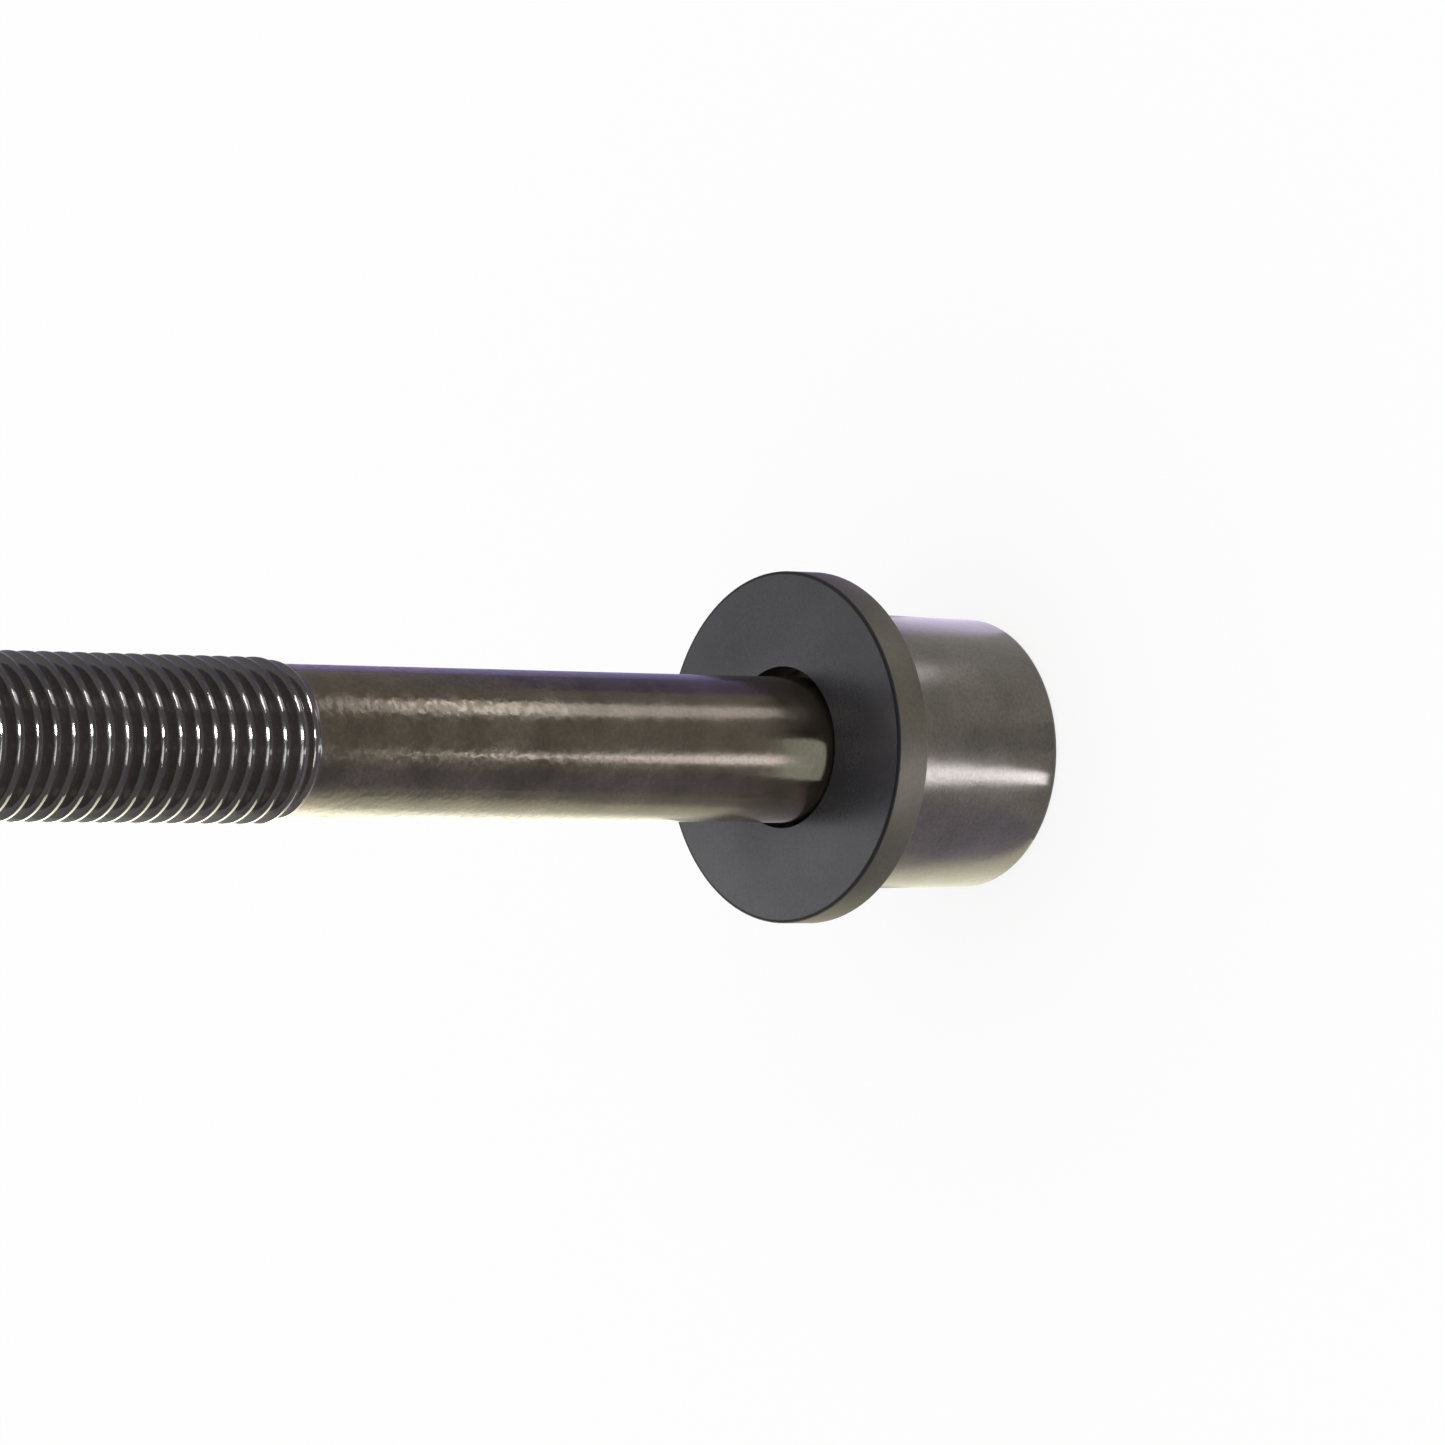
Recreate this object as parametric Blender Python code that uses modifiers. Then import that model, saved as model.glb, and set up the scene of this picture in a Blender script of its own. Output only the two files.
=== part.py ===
"""Cylinder head bolt with a loose washer under its round head.

The bolt stands on its head with the tip up. The origin is the middle of the head's end face, +Z runs
along the bolt to its tip, and all lengths are in metres. The rolled thread is a true right-hand helix
with few faces a turn: flat crests, straight flanks and a plain groove.
"""

import math

import bmesh
import bpy
from mathutils import Matrix

# Driving dimensions of the head
HEAD_DIAMETER = 0.0212
HEAD_HEIGHT = 0.0155
HEAD_DRAFT = math.radians(0.9)
HEAD_END_ROUNDING = 0.0005
HEAD_SEAT_ROUNDING = 0.0004

# Driving dimensions of the hexagon socket in the head's end
SOCKET_ACROSS_FLATS = 0.010
SOCKET_DEPTH = 0.007
SOCKET_MOUTH_CHAMFER = 0.0011
SOCKET_POINT_SLOPE = math.radians(30)
SOCKET_POINT_INSET = 0.0003

# Driving dimensions of the shank and the threaded length
SHANK_DIAMETER = 0.0111
PLAIN_LENGTH = 0.0506
HEAD_FILLET = 0.0004
THREAD_DIAMETER = 0.012
THREAD_ROOT_DIAMETER = 0.01016
THREAD_PITCH = 0.0015
THREAD_CREST_SHARE = 0.14
THREAD_RUNOUT = 0.0022
THREAD_LENGTH = 0.0572
TIP_CHAMFER = 0.001

# Driving dimensions of the washer
WASHER_DIAMETER = 0.0268
WASHER_THICKNESS = 0.003
WASHER_ROUNDING = 0.0002
WASHER_HOLE_CHAMFER = 0.0003
HOLE_CLEARANCE = 0.0001
SEAT_GAP = 0.0003

# Fineness of the round shapes: the thread has half as many steps round as the rest
THREAD_STEPS = 32
CIRCLE_STEPS = 2 * THREAD_STEPS
ROUNDING_STEPS = 3
MERGE_DISTANCE = 0.000001
CUTTER_OVERRUN = 0.001
SHARP_ANGLE = math.radians(30)

# Levels along the bolt, counted from the head's end
seat_level = HEAD_HEIGHT
plain_end_level = seat_level + PLAIN_LENGTH
thread_start_level = plain_end_level + THREAD_RUNOUT
tip_level = thread_start_level + THREAD_LENGTH
tip_radius = min(THREAD_DIAMETER / 2 - TIP_CHAMFER, THREAD_ROOT_DIAMETER / 2)
washer_level = seat_level + SEAT_GAP


def clear_scene():
    """Take away whatever the new scene starts with."""
    for thing in list(bpy.data.objects):
        bpy.data.objects.remove(thing, do_unlink=True)


def new_collection(name):
    collection = bpy.data.collections.new(name)
    bpy.context.scene.collection.children.link(collection)
    return collection


def steel(name, colour, roughness):
    """A dark, blackened steel with the given colour and roughness."""
    material = bpy.data.materials.new(name)
    material.use_nodes = True
    shader = material.node_tree.nodes["Principled BSDF"]
    shader.inputs["Base Color"].default_value = (*colour, 1.0)
    shader.inputs["Metallic"].default_value = 1.0
    shader.inputs["Roughness"].default_value = roughness
    material.diffuse_color = (*colour, 1.0)
    return material


def arc(centre, radius, start_degrees, end_degrees):
    """Points (r, z) round part of a circle, both ends included."""
    points = []
    for step in range(ROUNDING_STEPS + 1):
        turn = math.radians(start_degrees + (end_degrees - start_degrees) * step / ROUNDING_STEPS)
        points.append((centre[0] + radius * math.cos(turn), centre[1] + radius * math.sin(turn)))
    return points


def work_in(piece):
    """Turn what the piece's modifiers make into its own mesh, smooth but for its sharp edges."""
    evaluated = piece.evaluated_get(bpy.context.evaluated_depsgraph_get())
    piece.data = bpy.data.meshes.new_from_object(evaluated)
    piece.modifiers.clear()
    piece.data.name = piece.name
    piece.data.shade_smooth()
    piece.data.set_sharp_from_angle(angle=SHARP_ANGLE)


def turned(name, profile, collection, closed=False):
    """Turn a profile of (r, z) points, listed down its outer side, about the Z axis."""
    outline = bpy.data.meshes.new(name)
    edges = [(index, index + 1) for index in range(len(profile) - 1)]
    if closed:
        edges.append((len(profile) - 1, 0))
    outline.from_pydata([(r, 0.0, z) for r, z in profile], edges, [])
    piece = bpy.data.objects.new(name, outline)
    collection.objects.link(piece)
    screw = piece.modifiers.new("Turn", "SCREW")
    screw.axis = "Z"
    screw.angle = math.tau
    screw.steps = CIRCLE_STEPS
    screw.render_steps = CIRCLE_STEPS
    screw.use_merge_vertices = True
    screw.merge_threshold = MERGE_DISTANCE
    work_in(piece)
    bpy.data.meshes.remove(outline)
    return piece


def cut(piece, cutter):
    """Cut one shape out of a piece and keep the cutter as a wire guide."""
    cutter.hide_render = True
    cutter.display_type = "WIRE"
    boolean = piece.modifiers.new(cutter.name, "BOOLEAN")
    boolean.operation = "DIFFERENCE"
    boolean.solver = "EXACT"
    boolean.object = cutter
    work_in(piece)


def blank_profile():
    """The bolt's outer side from just under the thread down to the middle of the head's end."""
    shank_radius = SHANK_DIAMETER / 2
    head_radius = HEAD_DIAMETER / 2
    head_end_radius = head_radius - HEAD_HEIGHT * math.tan(HEAD_DRAFT)
    profile = [(shank_radius, plain_end_level - THREAD_PITCH)]
    fillet_centre = (shank_radius + HEAD_FILLET, seat_level + HEAD_FILLET)
    profile += arc(fillet_centre, HEAD_FILLET, 180, 270)
    seat_edge_centre = (head_radius - HEAD_SEAT_ROUNDING, seat_level - HEAD_SEAT_ROUNDING)
    profile += arc(seat_edge_centre, HEAD_SEAT_ROUNDING, 90, 0)
    end_edge_centre = (head_end_radius - HEAD_END_ROUNDING, HEAD_END_ROUNDING)
    profile += arc(end_edge_centre, HEAD_END_ROUNDING, 0, -90)
    profile.append((0.0, 0.0))
    return profile


def ring(shape, radius, level, steps):
    """A ring of vertices, closed by its first vertex."""
    vertices = []
    for step in range(steps):
        turn = math.tau * step / steps
        vertices.append(shape.verts.new((radius * math.cos(turn), radius * math.sin(turn), level)))
    return vertices + vertices[:1]


def thread_radii(level):
    """How far the crest and the root stand out at a level: both run out into the shank and the tip."""
    climbed = level - plain_end_level
    shank_radius = SHANK_DIAMETER / 2
    crest_share = min(climbed / THREAD_RUNOUT, 1.0)
    root_share = min(climbed / THREAD_PITCH, 1.0)
    crest = shank_radius + (THREAD_DIAMETER / 2 - shank_radius) * crest_share
    root = shank_radius + (THREAD_ROOT_DIAMETER / 2 - shank_radius) * root_share
    chamfer = tip_radius + tip_level - level
    return min(crest, chamfer), min(root, chamfer)


def roll_thread(blank):
    """Close the blank's open top with the thread and the flat tip.

    The thread is a grid that climbs one pitch a turn. Where it would pass the shank or the tip it is
    held there, and what falls together is merged.
    """
    shape = bmesh.new()
    shape.from_mesh(blank.data)
    shank_ring = ring(shape, SHANK_DIAMETER / 2, plain_end_level - THREAD_PITCH, CIRCLE_STEPS)
    start_ring = ring(shape, SHANK_DIAMETER / 2, plain_end_level, THREAD_STEPS)
    for step in range(THREAD_STEPS):
        first, middle, last = shank_ring[2 * step:2 * step + 3]
        shape.faces.new((first, middle, start_ring[step]))
        shape.faces.new((middle, start_ring[step + 1], start_ring[step]))
        shape.faces.new((middle, last, start_ring[step + 1]))

    crest_half = THREAD_CREST_SHARE / 2
    groove, crest_start, crest_end = (0.0, False), (0.5 - crest_half, True), (0.5 + crest_half, True)
    turns = math.ceil((tip_level - plain_end_level) / THREAD_PITCH) + 1
    rows = []
    for turn_number in range(turns):
        for share, is_crest in (groove, crest_start, crest_end):
            row = []
            for step in range(THREAD_STEPS + 1):
                climb = (turn_number + share + step / THREAD_STEPS - 1) * THREAD_PITCH
                level = min(max(plain_end_level + climb, plain_end_level), tip_level)
                crest, root = thread_radii(level)
                radius = crest if is_crest else root
                turn = math.tau * step / THREAD_STEPS
                row.append(shape.verts.new((radius * math.cos(turn), radius * math.sin(turn), level)))
            rows.append(row)
    for lower, upper in zip(rows, rows[1:]):
        for step in range(THREAD_STEPS):
            shape.faces.new((lower[step], lower[step + 1], upper[step + 1], upper[step]))

    bmesh.ops.remove_doubles(shape, verts=shape.verts, dist=MERGE_DISTANCE)
    bmesh.ops.holes_fill(shape, edges=shape.edges)
    bmesh.ops.recalc_face_normals(shape, faces=shape.faces)
    shape.to_mesh(blank.data)
    shape.free()
    work_in(blank)


def socket_cutters(collection):
    """The hexagon with its drilled point, and the cone that chamfers its mouth."""
    inner_radius = SOCKET_ACROSS_FLATS / 2
    corner_radius = inner_radius / math.cos(math.pi / 6)
    hexagon_mesh = bpy.data.meshes.new("socket_hexagon")
    shape = bmesh.new()
    height = SOCKET_DEPTH + CUTTER_OVERRUN
    middle = Matrix.Translation((0.0, 0.0, SOCKET_DEPTH - height / 2))
    bmesh.ops.create_cone(
        shape,
        cap_ends=True,
        segments=6,
        radius1=corner_radius,
        radius2=corner_radius,
        depth=height,
        matrix=middle @ Matrix.Rotation(math.pi / 2, 4, "Z"),
    )
    shape.to_mesh(hexagon_mesh)
    shape.free()
    hexagon = bpy.data.objects.new("socket_hexagon", hexagon_mesh)
    collection.objects.link(hexagon)

    point_radius = inner_radius - SOCKET_POINT_INSET
    point_profile = [
        (0.0, SOCKET_DEPTH + point_radius * math.tan(SOCKET_POINT_SLOPE)),
        (point_radius, SOCKET_DEPTH),
        (point_radius, -CUTTER_OVERRUN),
        (0.0, -CUTTER_OVERRUN),
    ]
    point = turned("socket_point", point_profile, collection)

    mouth_radius = inner_radius + SOCKET_MOUTH_CHAMFER
    mouth_profile = [
        (0.0, mouth_radius),
        (mouth_radius + CUTTER_OVERRUN, -CUTTER_OVERRUN),
        (0.0, -CUTTER_OVERRUN),
    ]
    mouth = turned("socket_mouth", mouth_profile, collection)
    return hexagon, point, mouth


def washer_profile():
    """The washer's section, from its hole's upper edge outwards and down its outer side."""
    hole_radius = max(THREAD_DIAMETER / 2, SHANK_DIAMETER / 2 + HEAD_FILLET) + HOLE_CLEARANCE
    outer_radius = WASHER_DIAMETER / 2
    top = washer_level + WASHER_THICKNESS
    rounding = WASHER_ROUNDING
    chamfer = WASHER_HOLE_CHAMFER
    profile = [(hole_radius, top - chamfer), (hole_radius + chamfer, top)]
    profile += arc((outer_radius - rounding, top - rounding), rounding, 90, 0)
    profile += arc((outer_radius - rounding, washer_level + rounding), rounding, 0, -90)
    profile += [(hole_radius + chamfer, washer_level), (hole_radius, washer_level + chamfer)]
    return profile


clear_scene()
parts = new_collection("Cylinder head bolt")
cutters = new_collection("Cutters")

bolt = turned("bolt", blank_profile(), parts)
roll_thread(bolt)
bolt.data.materials.append(steel("blackened_steel", (0.085, 0.078, 0.068), 0.36))
for socket_cutter in socket_cutters(cutters):
    cut(bolt, socket_cutter)

washer = turned("washer", washer_profile(), parts, closed=True)
washer.data.materials.append(steel("blackened_washer_steel", (0.095, 0.095, 0.1), 0.46))
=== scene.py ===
"""The looks of a cylinder head bolt: a blackened steel bolt with a rolled thread, and its loose washer."""

import math

import bmesh
import bpy
from mathutils import Matrix, Vector


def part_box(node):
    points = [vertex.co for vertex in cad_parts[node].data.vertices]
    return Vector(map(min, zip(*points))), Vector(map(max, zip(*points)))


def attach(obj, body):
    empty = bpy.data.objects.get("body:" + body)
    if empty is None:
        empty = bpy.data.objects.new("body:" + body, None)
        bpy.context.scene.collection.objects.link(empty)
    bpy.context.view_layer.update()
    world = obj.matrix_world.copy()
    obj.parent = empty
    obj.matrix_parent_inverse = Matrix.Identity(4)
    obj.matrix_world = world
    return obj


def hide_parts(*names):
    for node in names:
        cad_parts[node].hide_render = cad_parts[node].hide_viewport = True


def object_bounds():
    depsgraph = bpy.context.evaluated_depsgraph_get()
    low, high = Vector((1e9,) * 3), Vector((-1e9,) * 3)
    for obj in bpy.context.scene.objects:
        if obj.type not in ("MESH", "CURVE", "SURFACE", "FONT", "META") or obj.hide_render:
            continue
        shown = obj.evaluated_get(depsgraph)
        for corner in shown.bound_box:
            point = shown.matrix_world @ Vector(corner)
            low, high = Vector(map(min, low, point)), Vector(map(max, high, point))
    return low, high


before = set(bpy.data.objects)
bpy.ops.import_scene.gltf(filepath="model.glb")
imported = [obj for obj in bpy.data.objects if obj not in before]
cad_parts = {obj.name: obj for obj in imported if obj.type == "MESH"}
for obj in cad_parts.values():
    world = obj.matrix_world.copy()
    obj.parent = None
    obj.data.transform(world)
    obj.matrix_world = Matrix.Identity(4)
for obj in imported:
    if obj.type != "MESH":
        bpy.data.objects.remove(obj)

cad_low, cad_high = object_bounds()

# The bolt
# One forged and turned piece of blackened, oiled steel: a round head with a hexagon socket in its end,
# a plain shank and a fine thread that is rolled on, so that its crests stand a little proud of the shank.
MM = 0.001
bolt_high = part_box("bolt")[1]
tip_level = bolt_high.z
head_radius = bolt_high.x
head_height = 15.5 * MM
head_draft = math.radians(0.9)
head_end_rounding = 0.55 * MM
head_seat_rounding = 0.4 * MM
shank_radius = 5.55 * MM
head_fillet = 0.4 * MM
plain_length = 50.6 * MM
thread_pitch = 1.5 * MM
thread_radius = 6.0 * MM
thread_root_radius = 5.08 * MM
thread_runout = 2.2 * MM
thread_groove_start = 0.5 * MM
tip_chamfer = 1.0 * MM
socket_across_flats = 10 * MM
socket_depth = 7 * MM
socket_mouth_chamfer = 1.1 * MM
socket_point_radius = socket_across_flats / 2 - 0.3 * MM
socket_point_slope = math.radians(30)
steps_around = 112
steps_per_pitch = 14
rounding_steps = 6
weld_distance = 0.001 * MM
sharp_edge_angle = math.radians(40)

thread_bottom = head_height + plain_length
tip_radius = thread_radius - tip_chamfer


def arc(centre_r, centre_z, radius, start_degrees, end_degrees):
    """Points (r, z) round part of a circle, both ends included."""
    points = []
    for step in range(rounding_steps + 1):
        turn = math.radians(start_degrees + (end_degrees - start_degrees) * step / rounding_steps)
        points.append((centre_r + radius * math.cos(turn), centre_z + radius * math.sin(turn)))
    return points


def turned_mesh(name, profile, closed=False):
    """Turn a profile of (r, z) points, listed down its outer side, about the Z axis."""
    shape = bmesh.new()
    rings = []
    for r, z in profile:
        if r == 0.0:
            rings.append([shape.verts.new((0.0, 0.0, z))] * steps_around)
            continue
        ring = []
        for step in range(steps_around):
            turn = math.tau * step / steps_around
            ring.append(shape.verts.new((r * math.cos(turn), r * math.sin(turn), z)))
        rings.append(ring)
    pairs = list(zip(rings, rings[1:]))
    if closed:
        pairs.append((rings[-1], rings[0]))
    for upper, lower in pairs:
        for step in range(steps_around):
            after = (step + 1) % steps_around
            corners = [upper[step], lower[step], lower[after], upper[after]]
            shape.faces.new(list(dict.fromkeys(corners)))
    mesh = bpy.data.meshes.new(name)
    shape.to_mesh(mesh)
    shape.free()
    return mesh


def show(name, mesh):
    """A new object in the scene, with the mesh."""
    piece = bpy.data.objects.new(name, mesh)
    bpy.context.scene.collection.objects.link(piece)
    return piece


def plain_copy(piece):
    """The piece's mesh with its modifiers worked in."""
    evaluated = piece.evaluated_get(bpy.context.evaluated_depsgraph_get())
    return bpy.data.meshes.new_from_object(evaluated)


def cut_away(piece, cutters):
    """Cut closed meshes out of a closed piece, one after another."""
    for cutter_mesh in cutters:
        cutter = show("cutter", cutter_mesh)
        boolean = piece.modifiers.new("cut", "BOOLEAN")
        boolean.operation = "DIFFERENCE"
        boolean.solver = "EXACT"
        boolean.object = cutter
        cut_mesh = plain_copy(piece)
        piece.modifiers.clear()
        piece.data = cut_mesh
        bpy.data.objects.remove(cutter, do_unlink=True)


head_end_radius = head_radius - head_height * math.tan(head_draft)
blank_profile = [(0.0, thread_bottom), (shank_radius, thread_bottom)]
blank_profile += arc(shank_radius + head_fillet, head_height + head_fillet, head_fillet, 180, 270)
blank_profile += arc(
    head_radius - head_seat_rounding, head_height - head_seat_rounding, head_seat_rounding, 90, 0
)
blank_profile += arc(head_end_radius - head_end_rounding, head_end_rounding, head_end_rounding, 0, -90)
blank_profile.append((0.0, 0.0))
blank = show("blank", turned_mesh("blank", blank_profile))

hexagon_radius = socket_across_flats / 2 / math.cos(math.pi / 6)
hexagon = bmesh.new()
bmesh.ops.create_cone(
    hexagon,
    cap_ends=True,
    segments=6,
    radius1=hexagon_radius,
    radius2=hexagon_radius,
    depth=2 * socket_depth,
    matrix=Matrix.Rotation(math.pi / 2, 4, "Z"),
)
hexagon_mesh = bpy.data.meshes.new("hexagon")
hexagon.to_mesh(hexagon_mesh)
hexagon.free()
cutter_reach = 1 * MM
point_profile = [
    (0.0, socket_depth + socket_point_radius * math.tan(socket_point_slope)),
    (socket_point_radius, socket_depth),
    (socket_point_radius, -cutter_reach),
    (0.0, -cutter_reach),
]
mouth_radius = socket_across_flats / 2 + socket_mouth_chamfer
mouth_profile = [(0.0, mouth_radius), (mouth_radius + cutter_reach, -cutter_reach), (0.0, -cutter_reach)]
cut_away(blank, [hexagon_mesh, turned_mesh("point", point_profile), turned_mesh("mouth", mouth_profile)])

# The rolled thread is a tube between the open end of the shank and the tip's flat face. Its grid follows
# the helix, so that every crest is as crisp as the next
body = bmesh.new()
body.from_mesh(blank.data)
top_faces = [face for face in body.faces if all(v.co.z > thread_bottom - weld_distance for v in face.verts)]
bmesh.ops.delete(body, geom=top_faces, context="FACES")
loose = [v for v in body.verts if not v.link_faces]
bmesh.ops.delete(body, geom=loose, context="VERTS")
body.from_mesh(turned_mesh("tip", [(0.0, tip_level), (tip_radius, tip_level)]))
open_mesh = bpy.data.meshes.new("bolt_open")
body.to_mesh(open_mesh)
body.free()
bpy.data.objects.remove(blank, do_unlink=True)


def thread_tree():
    """Rolls a right-hand thread between the open shank and the tip of the bolt it is given."""
    tree = bpy.data.node_groups.new("rolled_thread", "GeometryNodeTree")
    interface = tree.interface
    interface.new_socket("Geometry", in_out="OUTPUT", socket_type="NodeSocketGeometry")
    interface.new_socket("Geometry", in_out="INPUT", socket_type="NodeSocketGeometry")
    for radius in ("Crest Radius", "Root Radius", "Shank Radius", "Tip Radius"):
        interface.new_socket(radius, in_out="INPUT", socket_type="NodeSocketFloat")
    for length in ("Pitch", "Bottom", "Runout", "Groove Start", "Tip"):
        interface.new_socket(length, in_out="INPUT", socket_type="NodeSocketFloat")
    for count in ("Steps Around", "Steps Per Pitch", "Turns"):
        interface.new_socket(count, in_out="INPUT", socket_type="NodeSocketInt")
    interface.new_socket("Material", in_out="INPUT", socket_type="NodeSocketMaterial")
    group_in = tree.nodes.new("NodeGroupInput").outputs
    link = tree.links.new

    def maths(operation, *values):
        node = tree.nodes.new("ShaderNodeMath")
        node.operation = operation
        for socket, value in zip(node.inputs, values):
            if isinstance(value, (int, float)):
                socket.default_value = value
            else:
                link(value, socket)
        return node.outputs[0]

    def mapped(value, from_low, from_high, to_low, to_high, kind="LINEAR"):
        node = tree.nodes.new("ShaderNodeMapRange")
        node.interpolation_type = kind
        for socket, given in zip(node.inputs, (value, from_low, from_high, to_low, to_high)):
            if isinstance(given, (int, float)):
                socket.default_value = given
            else:
                link(given, socket)
        return node.outputs["Result"]

    rows = maths("ADD", maths("MULTIPLY", group_in["Turns"], group_in["Steps Per Pitch"]), 1)
    grid = tree.nodes.new("GeometryNodeMeshGrid")
    link(maths("ADD", group_in["Steps Around"], 1), grid.inputs["Vertices X"])
    link(rows, grid.inputs["Vertices Y"])
    place = tree.nodes.new("ShaderNodeSeparateXYZ")
    link(tree.nodes.new("GeometryNodeInputPosition").outputs[0], place.inputs[0])
    around = maths("ADD", place.outputs["X"], 0.5)
    along = maths("MULTIPLY", maths("ADD", place.outputs["Y"], 0.5), group_in["Turns"])
    rise = maths("MULTIPLY", maths("SUBTRACT", maths("ADD", around, along), 1), group_in["Pitch"])
    climb = maths("ADD", group_in["Bottom"], rise)
    level = maths("MAXIMUM", maths("MINIMUM", climb, group_in["Tip"]), group_in["Bottom"])

    # How high the crest and the root stand at this level: both meet the shank, and the chamfer at the tip
    chamfer = maths("ADD", group_in["Tip Radius"], maths("SUBTRACT", group_in["Tip"], level))
    runout_end = maths("ADD", group_in["Bottom"], group_in["Runout"])
    quarter_turn = mapped(level, group_in["Bottom"], runout_end, 0.0, math.pi / 2)
    crest = mapped(maths("SINE", quarter_turn), 0.0, 1.0, group_in["Shank Radius"], group_in["Crest Radius"])
    groove_start = maths("ADD", group_in["Bottom"], group_in["Groove Start"])
    root = mapped(level, group_in["Bottom"], groove_start, group_in["Shank Radius"], group_in["Root Radius"])
    crest = maths("MINIMUM", crest, chamfer)
    root = maths("MINIMUM", root, chamfer)

    # The rounded crest and root of a rolled thread, as shares of the way from one to the other
    crest_end = 0.1
    root_start = 0.88
    off_crest = maths("MULTIPLY", maths("ABSOLUTE", maths("SUBTRACT", maths("FRACT", along), 0.5)), 2)
    height = mapped(off_crest, crest_end, root_start, 1.0, 0.0, "SMOOTHSTEP")
    radius = maths("ADD", root, maths("MULTIPLY", maths("SUBTRACT", crest, root), height))
    turn = maths("MULTIPLY", around, math.tau)
    rolled = tree.nodes.new("ShaderNodeCombineXYZ")
    link(maths("MULTIPLY", radius, maths("COSINE", turn)), rolled.inputs["X"])
    link(maths("MULTIPLY", radius, maths("SINE", turn)), rolled.inputs["Y"])
    link(level, rolled.inputs["Z"])
    roll = tree.nodes.new("GeometryNodeSetPosition")
    link(grid.outputs["Mesh"], roll.inputs["Geometry"])
    link(rolled.outputs[0], roll.inputs["Position"])

    whole = tree.nodes.new("GeometryNodeJoinGeometry")
    link(group_in["Geometry"], whole.inputs[0])
    link(roll.outputs[0], whole.inputs[0])
    weld = tree.nodes.new("GeometryNodeMergeByDistance")
    weld.inputs["Distance"].default_value = weld_distance
    link(whole.outputs[0], weld.inputs["Geometry"])
    realize = tree.nodes.new("GeometryNodeRealizeInstances")
    link(weld.outputs[0], realize.inputs[0])
    paint = tree.nodes.new("GeometryNodeSetMaterial")
    link(realize.outputs[0], paint.inputs["Geometry"])
    link(group_in["Material"], paint.inputs["Material"])
    link(paint.outputs[0], tree.nodes.new("NodeGroupOutput").inputs[0])
    return tree


def new_material(name):
    material = bpy.data.materials.new(name)
    material.use_nodes = True
    return material, material.node_tree, material.node_tree.nodes["Principled BSDF"]


def add_node(tree, kind, inputs=None, **settings):
    """A shader node with its settings and inputs, where an input is a number, a colour or a link."""
    node = tree.nodes.new(kind)
    for name, value in settings.items():
        setattr(node, name, value)
    for name, value in (inputs or {}).items():
        if isinstance(value, bpy.types.NodeSocket):
            tree.links.new(value, node.inputs[name])
        else:
            node.inputs[name].default_value = value
    return node


noise_low = 0.3
noise_high = 0.7


def toned(tree, pattern, dark, light):
    """A colour that follows a noise from a dark tone to a light one."""
    node = add_node(tree, "ShaderNodeValToRGB", {"Fac": pattern})
    stops = ((noise_low, dark), (noise_high, light))
    for element, (position, colour) in zip(node.color_ramp.elements, stops):
        element.position = position
        element.color = (*colour, 1.0)
    return node.outputs["Color"]


def between(tree, value, low, high, to_low=0.0, to_high=1.0):
    """The value's place between low and high, brought to the range from to_low to to_high."""
    sizes = {"Value": value, "From Min": low, "From Max": high, "To Min": to_low, "To Max": to_high}
    return add_node(tree, "ShaderNodeMapRange", sizes).outputs["Result"]


def fading(tree, share, first, second):
    """A number that goes from the first to the second as a share goes from 0 to 1."""
    return between(tree, share, 0.0, 1.0, first, second)


def mixed(tree, factor, first, second, blend_type="MIX"):
    """Two colours mixed by a factor."""
    node = tree.nodes.new("ShaderNodeMix")
    node.data_type = "RGBA"
    node.blend_type = blend_type
    for socket, value in zip((node.inputs[0], node.inputs[6], node.inputs[7]), (factor, first, second)):
        if isinstance(value, bpy.types.NodeSocket):
            tree.links.new(value, socket)
        elif isinstance(value, tuple):
            socket.default_value = (*value, 1.0)
        else:
            socket.default_value = value
    return node.outputs[2]


def noise(tree, place, scale, detail):
    """Noise of so many waves a metre."""
    sizes = {"Vector": place, "Scale": scale, "Detail": detail}
    return add_node(tree, "ShaderNodeTexNoise", sizes).outputs["Fac"]


def off_z_axis(tree, place):
    """How far a place lies from the Z axis."""
    across = add_node(tree, "ShaderNodeVectorMath", {0: place, 1: (1.0, 1.0, 0.0)}, operation="MULTIPLY")
    length = add_node(tree, "ShaderNodeVectorMath", {0: across.outputs[0]}, operation="LENGTH")
    return length.outputs["Value"]


def bump(tree, height, strength, distance, under=None):
    """Fine relief that follows a height, on top of the relief under it."""
    inputs = {"Height": height, "Strength": strength, "Distance": distance}
    if under is not None:
        inputs["Normal"] = under
    return add_node(tree, "ShaderNodeBump", inputs).outputs["Normal"]


steel, tree, shader = new_material("blackened_steel")
place = add_node(tree, "ShaderNodeTexCoord").outputs["Object"]
level = add_node(tree, "ShaderNodeSeparateXYZ", {"Vector": place}).outputs["Z"]
on_head = between(tree, level, head_height + MM, head_height)
on_thread = between(tree, level, thread_bottom - 0.3 * MM, thread_bottom + 0.7 * MM)
mottle = noise(tree, place, 260, 6.0)
shank_tone = toned(tree, mottle, (0.052, 0.043, 0.031), (0.084, 0.069, 0.052))
head_tone = toned(tree, mottle, (0.088, 0.079, 0.066), (0.116, 0.103, 0.088))
thread_tone = toned(tree, mottle, (0.033, 0.027, 0.026), (0.048, 0.040, 0.039))

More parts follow.
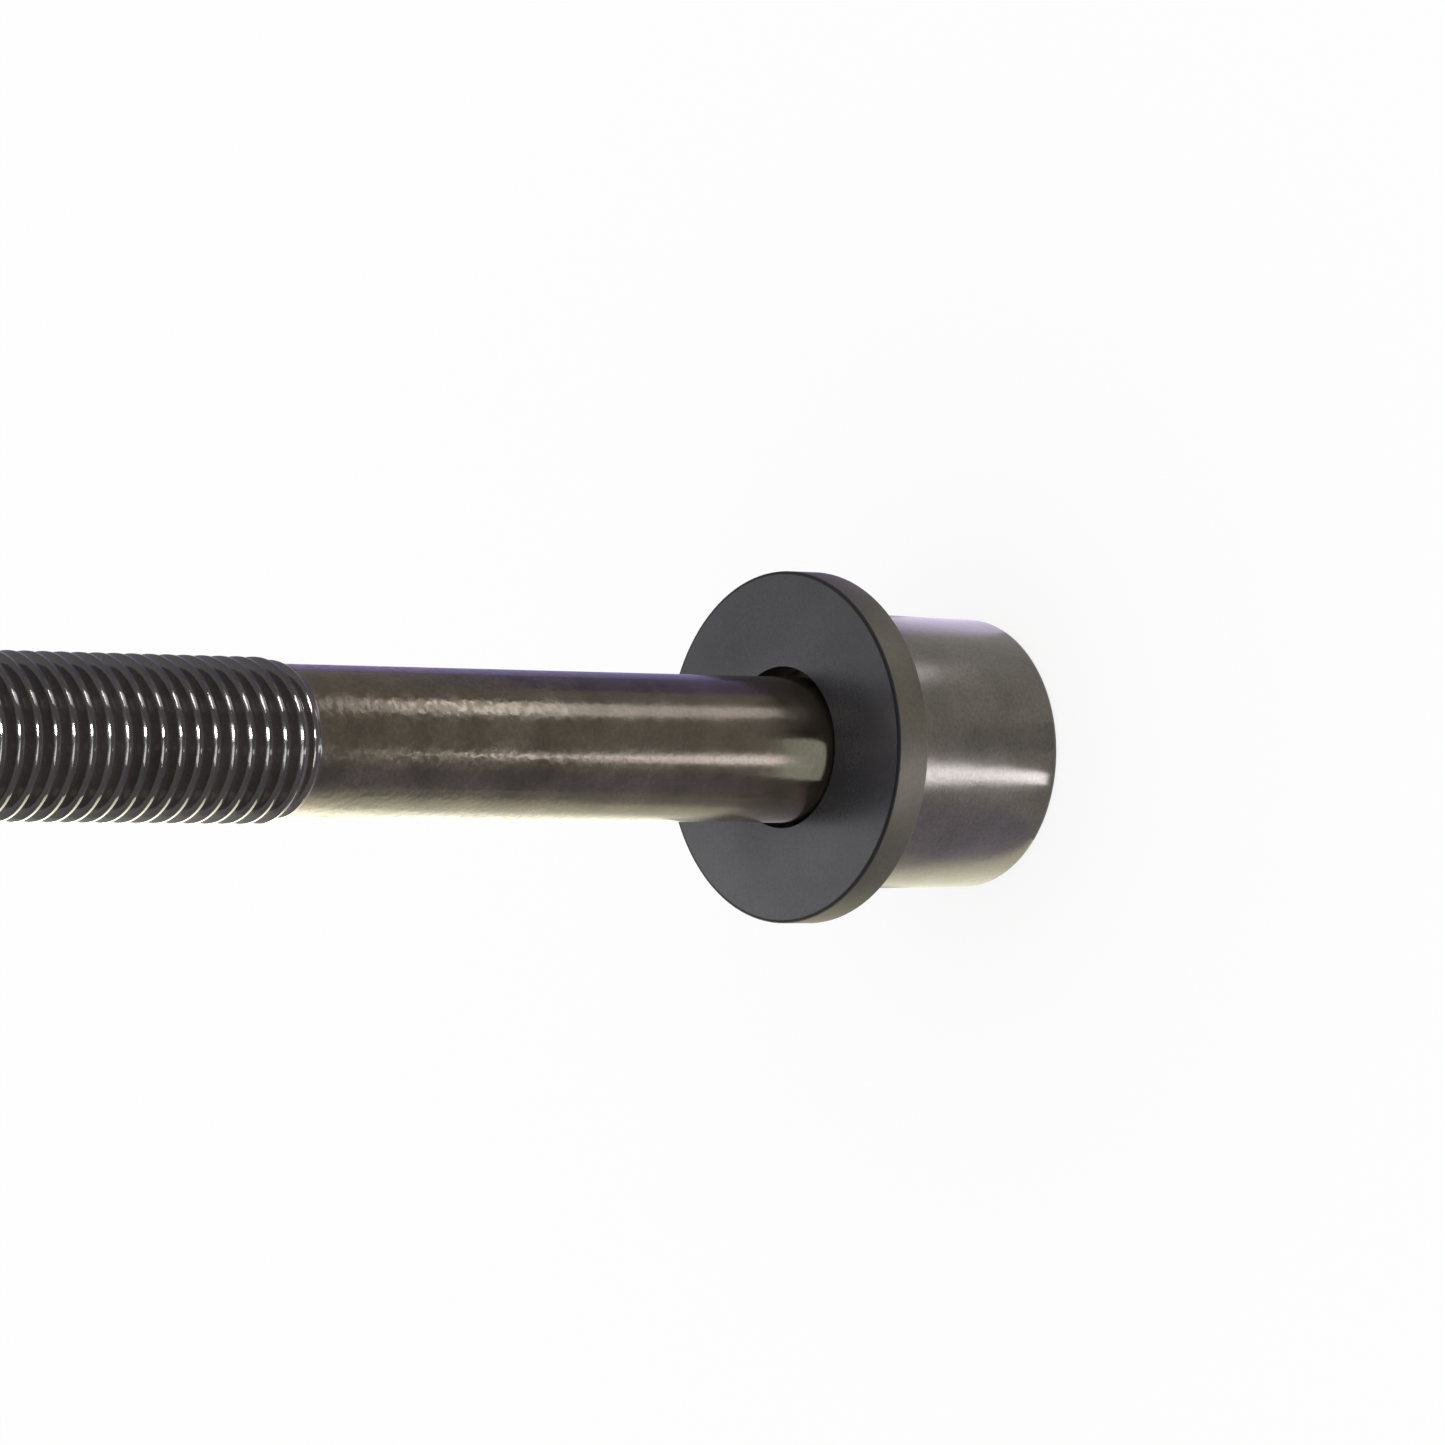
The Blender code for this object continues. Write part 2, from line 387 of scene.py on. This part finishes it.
# Painted light in the thread's grooves and painted shade on its crests, and a fine grain over the whole bolt
groove_painted_light_gain = 2.1
crest_painted_shade_gain = 0.6
grain_share = 0.35
shank_metal = 0.85
thread_metal = 0.25
off_axis = off_z_axis(tree, place)
# Lighter grooves and darker crests: painted light against the grooves' shade, painted shade against the
# crests' sheen
thread_painted_light_and_shade = between(tree, off_axis, thread_root_radius, thread_radius, groove_painted_light_gain, crest_painted_shade_gain)
thread_tone = mixed(tree, 1.0, thread_tone, thread_painted_light_and_shade, "MULTIPLY")
tone = mixed(tree, on_thread, mixed(tree, on_head, shank_tone, head_tone), thread_tone)
grain = noise(tree, place, 3600, 3.0)
grain_tone = toned(tree, grain, (0.55, 0.55, 0.55), (1.3, 1.3, 1.3))
tree.links.new(mixed(tree, grain_share, tone, grain_tone, "MULTIPLY"), shader.inputs["Base Color"])
tree.links.new(fading(tree, on_thread, shank_metal, thread_metal), shader.inputs["Metallic"])

# The shank has dull spots and small dents where it comes near the thread. The whole head is a little
# duller than the shank, and the thread is shinier
dents_start = thread_bottom - 38 * MM
dents_full = thread_bottom - 14 * MM
roughness_range = (0.19, 0.27)
spot_dulling = (-0.06, 0.07)
head_dulling = 0.08
thread_dulling = -0.12
ripple_height = 0.05 * MM
dent_height = 0.016 * MM
grain_height = 0.01 * MM
dented = fading(tree, on_thread, between(tree, level, dents_start, dents_full), 0.0)
dull_spots = between(tree, noise(tree, place, 1500, 1.0), 0.4, 0.6, *spot_dulling)
dulling = add_node(tree, "ShaderNodeMath", {0: dented, 1: dull_spots}, operation="MULTIPLY").outputs[0]
dulling = fading(tree, on_thread, fading(tree, on_head, dulling, head_dulling), thread_dulling)
plain_roughness = between(tree, mottle, noise_low, noise_high, *roughness_range)
roughness = add_node(tree, "ShaderNodeMath", {0: plain_roughness, 1: dulling}, operation="ADD").outputs[0]
tree.links.new(roughness, shader.inputs["Roughness"])
ripples = bump(tree, noise(tree, place, 900, 2.0), 0.25, ripple_height)
dents = bump(tree, noise(tree, place, 1900, 0.0), dented, dent_height, ripples)
tree.links.new(bump(tree, grain, 0.3, grain_height, dents), shader.inputs["Normal"])

# Turning marks run round the piece, so a lamp's light spreads along it
shader.inputs["Anisotropic"].default_value = 0.45
shader.inputs["Anisotropic Rotation"].default_value = 0.25
tangent = add_node(tree, "ShaderNodeTangent", direction_type="RADIAL", axis="Z")
tree.links.new(tangent.outputs[0], shader.inputs["Tangent"])

bolt = show("bolt_dressed", open_mesh)
roller = bolt.modifiers.new("thread", "NODES")
roller.node_group = thread_tree()
thread_sizes = {
    "Pitch": thread_pitch,
    "Crest Radius": thread_radius,
    "Root Radius": thread_root_radius,
    "Shank Radius": shank_radius,
    "Bottom": thread_bottom,
    "Runout": thread_runout,
    "Groove Start": thread_groove_start,
    "Tip": tip_level,
    "Tip Radius": tip_radius,
    "Steps Around": steps_around,
    "Steps Per Pitch": steps_per_pitch,
    "Turns": math.ceil((tip_level - thread_bottom) / thread_pitch) + 1,
    "Material": steel,
}
for item in roller.node_group.interface.items_tree:
    if item.in_out == "INPUT" and item.name in thread_sizes:
        roller[item.identifier] = thread_sizes[item.name]
bolt_mesh = plain_copy(bolt)
bolt.modifiers.clear()
bolt.data = bolt_mesh
bolt_mesh.shade_smooth()
bolt_mesh.set_sharp_from_angle(angle=sharp_edge_angle)
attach(bolt, "root")
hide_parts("bolt")

# The washer
# A thick flat washer of blackened steel, punched and ground, that hangs loosely round the shank against
# the underside of the head, so it sits a little to one side and tilts. Its hole clears the thread's crests.
washer_low, washer_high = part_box("washer")
washer_radius = washer_high.x
washer_hole_radius = 6.1 * MM
washer_rounding = 0.2 * MM
washer_hole_rounding = 0.12 * MM
washer_aside = (0.2 * MM, 0.42 * MM)
washer_tilt = math.radians(1.5)
washer_bottom = washer_low.z
washer_top = washer_high.z
washer_middle = (washer_bottom + washer_top) / 2
washer_centre = (*washer_aside, washer_middle)
rim_corner = washer_radius - washer_rounding
hole_corner = washer_hole_radius + washer_hole_rounding
washer_profile = arc(hole_corner, washer_top - washer_hole_rounding, washer_hole_rounding, 180, 90)
washer_profile += arc(rim_corner, washer_top - washer_rounding, washer_rounding, 90, 0)
washer_profile += arc(rim_corner, washer_bottom + washer_rounding, washer_rounding, 0, -90)
washer_profile += arc(hole_corner, washer_bottom + washer_hole_rounding, washer_hole_rounding, 270, 180)
washer_mesh = turned_mesh("washer", washer_profile, closed=True)
washer_turn = Matrix.Rotation(washer_tilt, 4, "X") @ Matrix.Translation((0.0, 0.0, -washer_middle))
washer_mesh.transform(Matrix.Translation(washer_centre) @ washer_turn)
washer_mesh.shade_smooth()
washer_mesh.set_sharp_from_angle(angle=sharp_edge_angle)
washer = show("washer_dressed", washer_mesh)

washer_steel, tree, shader = new_material("blackened_washer_steel")
place = add_node(tree, "ShaderNodeTexCoord").outputs["Object"]
mottle = noise(tree, place, 220, 6.0)
grain = noise(tree, place, 4200, 3.0)
face_tone = toned(tree, mottle, (0.046, 0.045, 0.050), (0.057, 0.056, 0.063))
rim_tone = toned(tree, mottle, (0.052, 0.045, 0.030), (0.072, 0.063, 0.044))
# Painted shade: a near-black tone for the corner between the rim and the upper face
painted_edge_shade_tone = (0.008, 0.008, 0.010)
face_roughness = 0.26
rim_roughness = 0.6
washer_grain_height = 0.012 * MM

# The rim and the painted-shade corner to its upper face, found from the washer's own middle and axis
own_place = {"Vector": place, "Location": washer_centre, "Rotation": (washer_tilt, 0.0, 0.0)}
from_centre = add_node(tree, "ShaderNodeMapping", own_place, vector_type="TEXTURE").outputs[0]
on_rim = between(tree, off_z_axis(tree, from_centre), washer_radius - 0.3 * MM, washer_radius - 0.2 * MM)
rise = add_node(tree, "ShaderNodeSeparateXYZ", {"Vector": from_centre}).outputs["Z"]
face_rise = washer_top - washer_middle
near_face = between(tree, rise, face_rise - 0.24 * MM, face_rise - 0.16 * MM)
on_painted_edge_shade = add_node(tree, "ShaderNodeMath", {0: on_rim, 1: near_face}, operation="MULTIPLY").outputs[0]
tone = mixed(tree, on_painted_edge_shade, mixed(tree, on_rim, face_tone, rim_tone), painted_edge_shade_tone)
grain_tone = toned(tree, grain, (0.6, 0.6, 0.6), (1.25, 1.25, 1.25))
tree.links.new(mixed(tree, grain_share, tone, grain_tone, "MULTIPLY"), shader.inputs["Base Color"])
shader.inputs["Metallic"].default_value = 0.6
tree.links.new(fading(tree, on_rim, face_roughness, rim_roughness), shader.inputs["Roughness"])
tree.links.new(bump(tree, grain, 0.35, washer_grain_height), shader.inputs["Normal"])
washer.data.materials.append(washer_steel)
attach(washer, "root")
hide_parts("washer")

# The floor, the light and the camera
# A white floor in plain soft light. The bolt stands on its head, and the camera looks down on it with its
# top towards +X, so that the bolt lies across the picture with its tip to the left.
floor_reach = 4.0
floor_mesh = bpy.data.meshes.new("floor")
floor_shape = bmesh.new()
bmesh.ops.create_grid(floor_shape, x_segments=1, y_segments=1, size=floor_reach)
floor_shape.to_mesh(floor_mesh)
floor_shape.free()
floor_mesh.transform(Matrix.Translation((0.0, 0.0, cad_low.z)))
floor = show("floor", floor_mesh)
white, tree, shader = new_material("white_floor")
shader.inputs["Base Color"].default_value = (0.92, 0.92, 0.92, 1.0)
shader.inputs["Roughness"].default_value = 0.9

# To the camera and in reflections the floor is mostly white by itself, and the rest takes the shadow
floor_glow = 0.85
path = add_node(tree, "ShaderNodeLightPath").outputs
camera_or_glossy = {0: path["Is Camera Ray"], 1: path["Is Glossy Ray"]}
seen = add_node(tree, "ShaderNodeMath", camera_or_glossy, operation="MAXIMUM").outputs[0]
cover = add_node(tree, "ShaderNodeMath", {0: seen, 1: floor_glow}, operation="MULTIPLY").outputs[0]
glow = add_node(tree, "ShaderNodeEmission", {"Color": (1.0, 1.0, 1.0, 1.0), "Strength": 1.0}).outputs[0]
covered = add_node(tree, "ShaderNodeMixShader", {0: cover, 1: shader.outputs[0], 2: glow}).outputs[0]
tree.links.new(covered, tree.nodes["Material Output"].inputs["Surface"])
floor_mesh.materials.append(white)

world = bpy.data.worlds.new("soft_light")
bpy.context.scene.world = world
world.use_nodes = True
background = world.node_tree.nodes["Background"]
background.inputs["Color"].default_value = (1.0, 1.0, 1.0, 1.0)
background.inputs["Strength"].default_value = 1.0


def standing_lamp(name, level, azimuth, elevation, distance, width, length, radiance, colour=(1.0, 1.0, 1.0)):
    """A rectangular lamp, as bright as so many times white, that shows only in the shine of the steel.

    It faces a level on the bolt's axis. Its azimuth counts from -Y towards +X.
    """
    light = bpy.data.lights.new(name, "AREA")
    light.shape = "RECTANGLE"
    light.size = width
    light.size_y = length
    light.energy = radiance * math.pi * width * length
    light.color = colour
    lamp = bpy.data.objects.new(name, light)
    bpy.context.scene.collection.objects.link(lamp)
    turn = math.radians(azimuth)
    tilt = math.radians(elevation)
    away = Vector((math.sin(turn) * math.cos(tilt), -math.cos(turn) * math.cos(tilt), math.sin(tilt)))
    lamp.location = Vector((0.0, 0.0, level)) + away * distance
    lamp.rotation_euler = away.to_track_quat("Z", "Y").to_euler()
    lamp.visible_camera = False
    lamp.visible_diffuse = False
    return lamp


def light_film(name, azimuth, aside, outline, height, radiance, colour=(1.0, 1.0, 1.0), upward=True):
    """A flat strip of light film that glows to one side and shows only in the shine of the steel.

    It lies at a height above the floor and runs outwards from the bolt's axis, shifted sideways by aside.
    Its outline lists distances from the axis with its half width there, and its azimuth counts from -Y
    towards +X.
    """
    turn = math.radians(azimuth)
    along = Vector((math.sin(turn), -math.cos(turn), 0.0))
    across = Vector((math.cos(turn), math.sin(turn), 0.0))
    film = bmesh.new()
    edges = []
    for distance, half_width in outline:
        middle = along * distance + across * aside + Vector((0.0, 0.0, cad_low.z + height))
        left = film.verts.new(middle - across * half_width)
        right = film.verts.new(middle + across * half_width)
        edges.append((left, right) if upward else (right, left))
    for near, far in zip(edges, edges[1:]):
        film.faces.new((near[0], far[0], far[1], near[1]))
    film_mesh = bpy.data.meshes.new(name)
    film.to_mesh(film_mesh)
    film.free()
    light = show(name, film_mesh)
    material = bpy.data.materials.new(name)
    material.use_nodes = True
    nodes = material.node_tree.nodes
    nodes.remove(nodes["Principled BSDF"])
    tree = material.node_tree
    glow = add_node(tree, "ShaderNodeEmission", {"Color": (*colour, 1.0), "Strength": radiance}).outputs[0]
    clear = add_node(tree, "ShaderNodeBsdfTransparent").outputs[0]
    behind = add_node(tree, "ShaderNodeNewGeometry").outputs["Backfacing"]
    one_side = add_node(tree, "ShaderNodeMixShader", {0: behind, 1: glow, 2: clear})
    tree.links.new(one_side.outputs[0], nodes["Material Output"].inputs["Surface"])
    film_mesh.materials.append(material)
    light.visible_camera = False
    light.visible_diffuse = False
    light.visible_shadow = False


# The bolt's sides mirror the floor, so what lights them up in the picture lies there. The first film draws
# the bright line along the bolt's near side, and the next two keep the steel beside it dark. Where films
# lie over one another, the highest one shows
front_outline = (
    (11 * MM, 0.5 * MM), (20 * MM, 1.5 * MM), (29 * MM, 3.3 * MM), (45 * MM, 5.6 * MM), (62 * MM, 4.8 * MM),
    (110 * MM, 3 * MM),
)
front_shade_outline = ((10.6 * MM, 3.8 * MM), (28 * MM, 12 * MM), (140 * MM, 40 * MM))
head_front_outline = ((10.6 * MM, 1.2 * MM), (28 * MM, 4.4 * MM))
light_film(
    "front_light", azimuth=-15.8, aside=0.94 * MM, outline=front_outline, height=0.3 * MM, radiance=10.6,
    colour=(0.98, 1.0, 1.13),
)
light_film(
    "front_shade", azimuth=-54, aside=0.0, outline=front_shade_outline, height=0.2 * MM, radiance=0.74,
    colour=(1.0, 0.96, 1.22),
)
light_film(
    "head_front_shade", azimuth=8.5, aside=0.0, outline=head_front_outline, height=0.2 * MM, radiance=0.66
)

# The second bright line runs along the side towards +X, and a film further out carries it up to the
# thread. The others give the far sides their coloured edges
side_outline = ((24 * MM, 2.4 * MM), (41 * MM, 4.4 * MM), (68 * MM, 11 * MM), (160 * MM, 28 * MM))
side_far_outline = ((130 * MM, 17 * MM), (142 * MM, 23 * MM), (220 * MM, 36 * MM))
low_side_outline = ((20 * MM, 18 * MM), (78 * MM, 72 * MM))
low_far_outline = ((78 * MM, 84 * MM), (160 * MM, 175 * MM))
back_outline = ((22 * MM, 10 * MM), (78 * MM, 36 * MM))
far_shade_outline = ((20 * MM, 17 * MM), (140 * MM, 120 * MM))
light_film(
    "side_light", azimuth=51, aside=2.5 * MM, outline=side_outline, height=0.2 * MM, radiance=4.8,
    colour=(0.97, 1.0, 1.09),
)
light_film(
    "side_far_light", azimuth=51, aside=2.5 * MM, outline=side_far_outline, height=0.25 * MM, radiance=10.5,
    colour=(0.97, 1.0, 1.06),
)
light_film(
    "low_side_light", azimuth=-138, aside=0.0, outline=low_side_outline, height=0.15 * MM, radiance=2.0,
    colour=(1.0, 0.98, 0.78),
)
light_film(
    "low_far_light", azimuth=-132, aside=0.0, outline=low_far_outline, height=0.15 * MM, radiance=7.5,
    colour=(1.0, 0.98, 0.72),
)
light_film(
    "back_light", azimuth=-155, aside=0.0, outline=back_outline, height=0.2 * MM, radiance=2.8,
    colour=(1.0, 0.98, 0.80),
)
light_film(
    "far_side_shade", azimuth=125, aside=0.0, outline=far_shade_outline, height=0.15 * MM, radiance=0.8,
    colour=(0.62, 0.53, 1.0),
)

# The edges of the head
head_low_outline = ((2 * MM, 5.2 * MM), (31 * MM, 5.2 * MM))
head_high_outline = ((2 * MM, 4.2 * MM), (24 * MM, 4.2 * MM))
light_film(
    "head_low_light", azimuth=-118.7, aside=5.2 * MM, outline=head_low_outline, height=0.25 * MM,
    radiance=2.2, colour=(1.0, 0.98, 0.78),
)
light_film(
    "head_high_light", azimuth=118.7, aside=-4 * MM, outline=head_high_outline, height=0.25 * MM,
    radiance=2.2, colour=(0.82, 0.76, 1.0),
)

# Just above the washer's face, the films lighten the part of the shank that mirrors it, and a film higher
# up, which glows downwards, takes some of the white world out of the face
above_washer = washer_top - cad_low.z
washer_outline = ((6.1 * MM, 1.8 * MM), (8.2 * MM, 3.4 * MM), (12.4 * MM, 5.4 * MM))
washer_low_outline = ((5.7 * MM, 13 * MM), (13 * MM, 13 * MM))
washer_shade_outline = ((5.7 * MM, 9 * MM), (30 * MM, 20 * MM))
light_film(
    "washer_light", azimuth=-10, aside=0.0, outline=washer_outline, height=above_washer + 0.1 * MM,
    radiance=3.0, colour=(0.86, 1.0, 0.98),
)
light_film(
    "washer_low_light", azimuth=-85, aside=0.0, outline=washer_low_outline, height=above_washer + 0.05 * MM,
    radiance=0.5, colour=(1.0, 0.93, 1.0),
)
light_film(
    "washer_shade", azimuth=0, aside=0.0, outline=washer_shade_outline, height=above_washer + 12 * MM,
    radiance=0.45, upward=False,
)

# The lamps near the thread draw the rows of glints on its crests, and shine on the bolt alone
thread_middle = thread_bottom + 20 * MM
glint_distance = 150 * MM
glints = [
    standing_lamp(
        "thread_low_glint", thread_middle, azimuth=-37, elevation=55, distance=glint_distance,
        width=48 * MM, length=70 * MM, radiance=13.0,
    ),
    standing_lamp(
        "thread_glint", thread_middle, azimuth=6, elevation=62, distance=glint_distance,
        width=18 * MM, length=50 * MM, radiance=210.0,
    ),
    standing_lamp(
        "thread_high_glint", thread_middle, azimuth=59, elevation=45, distance=glint_distance,
        width=38 * MM, length=60 * MM, radiance=50.0, colour=(1.0, 0.95, 0.85),
    ),
]
glinting = bpy.data.collections.new("glinting")
glinting.objects.link(bolt)
for lamp in glints:
    lamp.light_linking.receiver_collection = glinting

# A weak lamp behind gives the washer's face a soft sheen
standing_lamp(
    "washer_glow", 45 * MM, azimuth=-150, elevation=18, distance=73 * MM, width=70 * MM, length=80 * MM,
    radiance=0.65, colour=(1.0, 1.0, 0.9),
)

camera_data = bpy.data.cameras.new("camera")
camera = bpy.data.objects.new("camera", camera_data)
bpy.context.scene.collection.objects.link(camera)
camera_data.lens = 175.4
camera_data.sensor_width = 36.0
aim = Vector((0.00198, 0.0, 0.0249))
look_down = math.radians(39.24)
roll = math.radians(-88.8)
distance = 0.5313
camera.matrix_world = (
    Matrix.Translation(aim)
    @ Matrix.Rotation(math.pi / 2 - look_down, 4, "X")
    @ Matrix.Rotation(roll, 4, "Z")
    @ Matrix.Translation((0.0, 0.0, distance))
)
bpy.context.scene.camera = camera
bpy.context.scene.view_settings.view_transform = "Standard"
